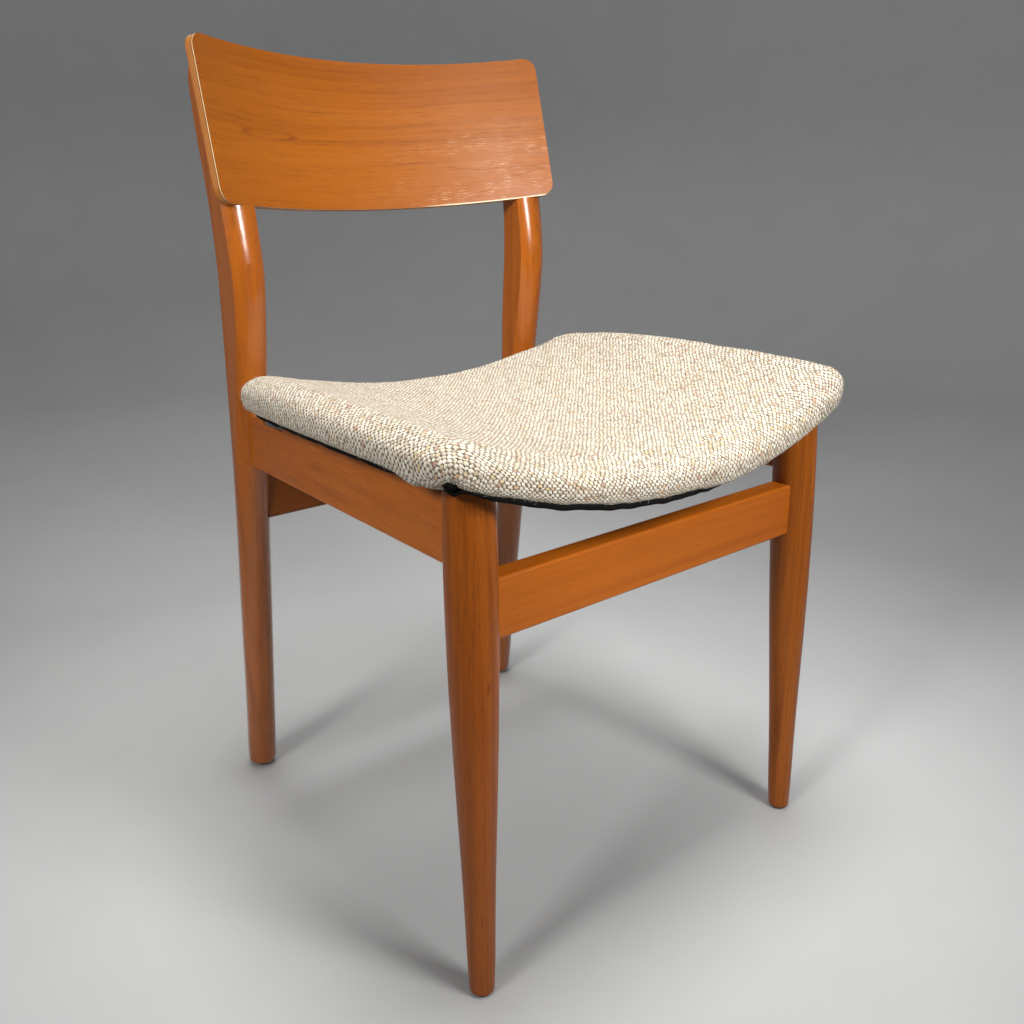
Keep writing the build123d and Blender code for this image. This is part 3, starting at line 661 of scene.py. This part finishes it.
def add_hem_and_painted_shade():
    """The rolled edge of the black bottom cloth, partly painted shade: a dark band under the front that is
    partly hem and partly painted shade, and a line hung low at the sides as painted shade over the rail
    tops.
    """
    x, y, nx, ny = outline(HEM_STATIONS)
    front = frontness(x, ny)
    turn = np.arange(HEM_STATIONS) * 2 * math.pi / HEM_STATIONS
    waves = ((0.0004, 23, 0), (0.0003, 41, 1), (0.0003, 67, 2))
    waver = sum(height * np.sin(count * turn + phase) for height, count, phase in waves)
    gathered = bell(y, GATHER_Y, 1.3 * GATHER_REACH)
    # Painted shade along the sides, where the hem is hung lower to darken the rail tops
    side = np.clip((np.abs(nx) - 0.6) / 0.3, 0, 1) * (1 - front) * (1 - gathered)
    tuck = bell(np.hypot(np.abs(x) - TUCK[0], y - TUCK[1]), 0, HEM_TUCK_REACH)
    inset = HEM_TUCKED + HEM_OUT * front + 0.5 * waver
    centre = underside(x, y) + (0.5 * FRONT_LIFT - 0.0003) * front - (PROUD + 0.0008) * (1 - front)
    centre += waver - HEM_SIDE_SHADE_DROP * side + HEM_TUCK_LIFT * tuck
    wide = HEM_HALF_WIDE - HEM_FRONT_NARROW * front
    tall = HEM_HALF_TALL + (0.5 * FRONT_LIFT - 0.0006) * front
    tall += HEM_SIDE_SHADE_TALL * side + HEM_TUCK_TALL * tuck
    around = np.linspace(0, 2 * math.pi, HEM_SIDES, endpoint=False)[None]
    out = inset[:, None] + wide[:, None] * np.cos(around)
    up = centre[:, None] + tall[:, None] * np.sin(around)
    across, along = x[:, None] + nx[:, None] * out, y[:, None] + ny[:, None] * out
    places = np.stack([across, along, up], -1).reshape(-1, 3)
    faces = []
    for station in range(HEM_STATIONS):
        for corner in range(HEM_SIDES):
            a, b = station * HEM_SIDES, (station + 1) % HEM_STATIONS * HEM_SIDES
            after = (corner + 1) % HEM_SIDES
            faces.append((a + corner, b + corner, b + after, a + after))
    hem = mesh_object("bottom_cloth_hem_and_shade", places, faces)
    hem.data.materials.append(black_cloth)
    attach(hem, ROOT)


# Painted shade: dark balls of black cloth stand for the shade in the tuck hollows and creases at the front
# corners
CREASE_X = 0.2343
TUCK_SHIFT, CREASE_SHIFT = (-0.0006, 0.0002), (-0.0012, 0.0)    # of each ball from its place on the plan
TUCK_HALVES, CREASE_HALVES = (0.0064, 0.0062, 0.0050), (0.0034, 0.0008, 0.0082)
TUCK_UP, CREASE_UP = 0.0030, 0.0022   # height above the underside
FLUFF = 0.06                          # how unevenly the balls' surfaces stand out


def add_tuck_shades():
    """Dark balls of black cloth at the front corners, painted shade for the hollows where the cover is
    tucked in and for their creases.
    """
    draw = np.random.default_rng(11)
    tuck = ("tuck", *TUCK, TUCK_UP, TUCK_SHIFT, TUCK_HALVES)
    crease = ("crease", CREASE_X, PLEAT_Y, CREASE_UP, CREASE_SHIFT, CREASE_HALVES)
    for side, hand in ((-1, "right"), (1, "left")):
        for kind, x, y, lift, shift, halves in (tuck, crease):
            bpy.ops.mesh.primitive_uv_sphere_add(segments=24, ring_count=14, radius=1)
            ball = bpy.context.object
            ball.name = "corner_%s_%s" % (kind, hand)
            places = read_places(ball.data)
            places *= (1 + draw.normal(0, FLUFF, len(places)))[:, None]
            middle = np.array([side * (x + shift[0]), y + shift[1], underside(x, y) + lift])
            set_places(ball.data, places * np.array(halves) + middle)
            for polygon in ball.data.polygons:
                polygon.use_smooth = True
            # black cloth used as painted shade
            ball.data.materials.append(black_cloth)
            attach(ball, ROOT)


FIBRES, FIBRE_STEPS, FIBRE_SIDES, FIBRE_RADIUS = 2600, 5, 3, 0.00009
SHORTEST, LONGEST = 0.0015, 0.0055


def add_fibres(mesh, run):
    """Loose fibres that stand off the cover's surface."""
    draw = np.random.default_rng(7)
    corners = np.array([polygon.vertices[:] for polygon in mesh.polygons])
    reach = run[corners].max(1)
    likely = (reach < EDGE_TOP + EDGE_LOW) * (1 + 5 * bell(reach, EDGE_TOP + 0.5 * EDGE_LOW, 0.02))
    chosen = draw.choice(len(corners), FIBRES, p=likely / likely.sum())
    centres = read_places(mesh)[corners].mean(1)[chosen]
    normals = np.array([polygon.normal[:] for polygon in mesh.polygons])[chosen]
    lean = np.cross(normals, draw.normal(size=(FIBRES, 3)))
    lean /= np.linalg.norm(lean, axis=1, keepdims=True)
    side = np.cross(normals, lean)
    length = draw.uniform(SHORTEST, LONGEST, FIBRES)
    height = draw.gamma(2.0, 0.00045, FIBRES)
    curl = draw.normal(0, 0.5, FIBRES)
    start = centres + lean * draw.uniform(-0.002, 0.002, (FIBRES, 1)) - normals * 0.0003
    step = np.linspace(0, 1, FIBRE_STEPS)[None, :, None]
    spine = (start[:, None] + lean[:, None] * (length[:, None, None] * step)
             + normals[:, None] * (height[:, None, None] * np.sin(2.3 * step))
             + side[:, None] * ((curl * length)[:, None, None] * step**2))
    turn = np.linspace(0, 2 * math.pi, FIBRE_SIDES, endpoint=False)
    ring = (side[:, None, None] * np.cos(turn)[None, None, :, None]
            + normals[:, None, None] * np.sin(turn)[None, None, :, None])
    width = FIBRE_RADIUS * (1 - 0.6 * step[..., None])
    places = (spine[:, :, None] + ring * width).reshape(-1, 3)
    faces = []
    for fibre in range(FIBRES):
        base = fibre * FIBRE_STEPS * FIBRE_SIDES
        for knot in range(FIBRE_STEPS - 1):
            a, b = base + knot * FIBRE_SIDES, base + (knot + 1) * FIBRE_SIDES
            for edge in range(FIBRE_SIDES):
                after = (edge + 1) % FIBRE_SIDES
                faces.append((a + edge, a + after, b + after, b + edge))
        last = base + (FIBRE_STEPS - 1) * FIBRE_SIDES
        faces += [(base + 2, base + 1, base), (last, last + 1, last + 2)]
    made = mesh_object("cover_fibres", places, faces)
    made.data.materials.append(plain("loose_wool", (0.84, 0.78, 0.66), 0.9, 400.0))
    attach(made, ROOT)


SPACING = 0.004                       # of the woven grid
REST_SCALE = 1.03                     # size of the cloth at rest over its flat cut
PRESSURE = 4.0
SWELL_CAP = 0.004
COVER_THICK = 0.0015
flat, wrapped, quads, run, pressed = lay_cloth(SPACING)
pad = mesh_object("seat_pad", wrapped, quads, flat)
pull_taut(pad, flat, run, REST_SCALE, PRESSURE, SWELL_CAP)
set_places(pad.data, read_places(pad.data) + pressed)
add_fibres(pad.data, run)
pad.data.materials.append(tweed(KNOT_PITCH))
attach(pad, ROOT)
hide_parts("seat_cover", "seat_foam")
smooth = pad.modifiers.new("finer", "SUBSURF")
smooth.levels = 1
smooth.render_levels = 1
shell = pad.modifiers.new("cloth", "SOLIDIFY")
shell.thickness = COVER_THICK
shell.offset = -1
add_hem_and_painted_shade()
add_tuck_shades()


# ---------------------------------------------------------------- floor and lights
FLOOR_REACH, SWEEP, WALL_TOP = 3.2, 0.9, 3.6
SPOKES = 96


def add_floor():
    """A round seamless backdrop: a flat floor that sweeps up into a wall, facing inwards."""
    bend = np.linspace(0, math.pi / 2, 14)
    radii = [*(FLOOR_REACH - SWEEP + SWEEP * np.sin(bend)), FLOOR_REACH]
    heights = [*(SWEEP - SWEEP * np.cos(bend)), WALL_TOP]
    turns = np.linspace(0, 2 * math.pi, SPOKES, endpoint=False)
    places = [(r * math.cos(a), r * math.sin(a), z) for r, z in zip(radii, heights) for a in turns]
    faces = [tuple(range(SPOKES))]
    for ring in range(len(radii) - 1):
        for spoke in range(SPOKES):
            after = (spoke + 1) % SPOKES
            a, b = ring * SPOKES, (ring + 1) * SPOKES
            faces.append((a + spoke, b + spoke, b + after, a + after))
    floor = mesh_object("floor", places, faces)
    graph = Graph("pale_floor")
    tone = graph.noise(graph.place(), scale=6, detail=5, rough=0.6)
    graph.colour(graph.ramp(tone, (0.3, (0.43, 0.44, 0.45)), (0.7, (0.45, 0.46, 0.47))))
    graph.rough(0.6)
    floor.data.materials.append(graph.material)
    return floor


def add_light(name, place, aim, size, power, spread=180, colour=(1, 0.98, 0.95)):
    """A soft area light; spread is in degrees."""
    data = bpy.data.lights.new(name, "AREA")
    data.shape = "RECTANGLE"
    data.size, data.size_y = size
    data.spread = math.radians(spread)
    data.energy = power
    data.color = colour
    light = bpy.data.objects.new(name, data)
    light.location = place
    light.rotation_euler = (Vector(aim) - Vector(place)).to_track_quat("-Z", "Y").to_euler()
    light.visible_camera = False
    bpy.context.scene.collection.objects.link(light)
    return light


floor = add_floor()
# The wash lights only the backdrop, which can then be pale without bleaching the chair
wash = add_light("wash", (0.6, 0.6, 3.1), (0.6, 0.8, 0), (2.0, 2.0), 36)
lit = bpy.data.collections.new("backdrop")
lit.objects.link(floor)
wash.light_linking.receiver_collection = lit
add_light("front", (0.09, -1.00, 1.02), (0, 0, 0.38), (0.32, 0.32), 3.4, 90)
add_light("side", (-1.60, -0.42, 1.38), (-0.1, 0, 0.66), (0.36, 0.36), 3.6, 70)
add_light("top", (0.0, -0.1, 2.2), (0, -0.05, 0.4), (0.7, 0.7), 4.4, 60)
add_light("back", (0.3, 2.2, 1.6), (0, 0, 0.5), (1.6, 1.0), 6)
world = bpy.data.worlds.new("studio")
world.use_nodes = True
sky = world.node_tree.nodes["Background"]
sky.inputs[0].default_value = (0.93, 0.95, 1, 1)
sky.inputs[1].default_value = 0.05
bpy.context.scene.world = world
bpy.context.scene.view_settings.view_transform = "Standard"
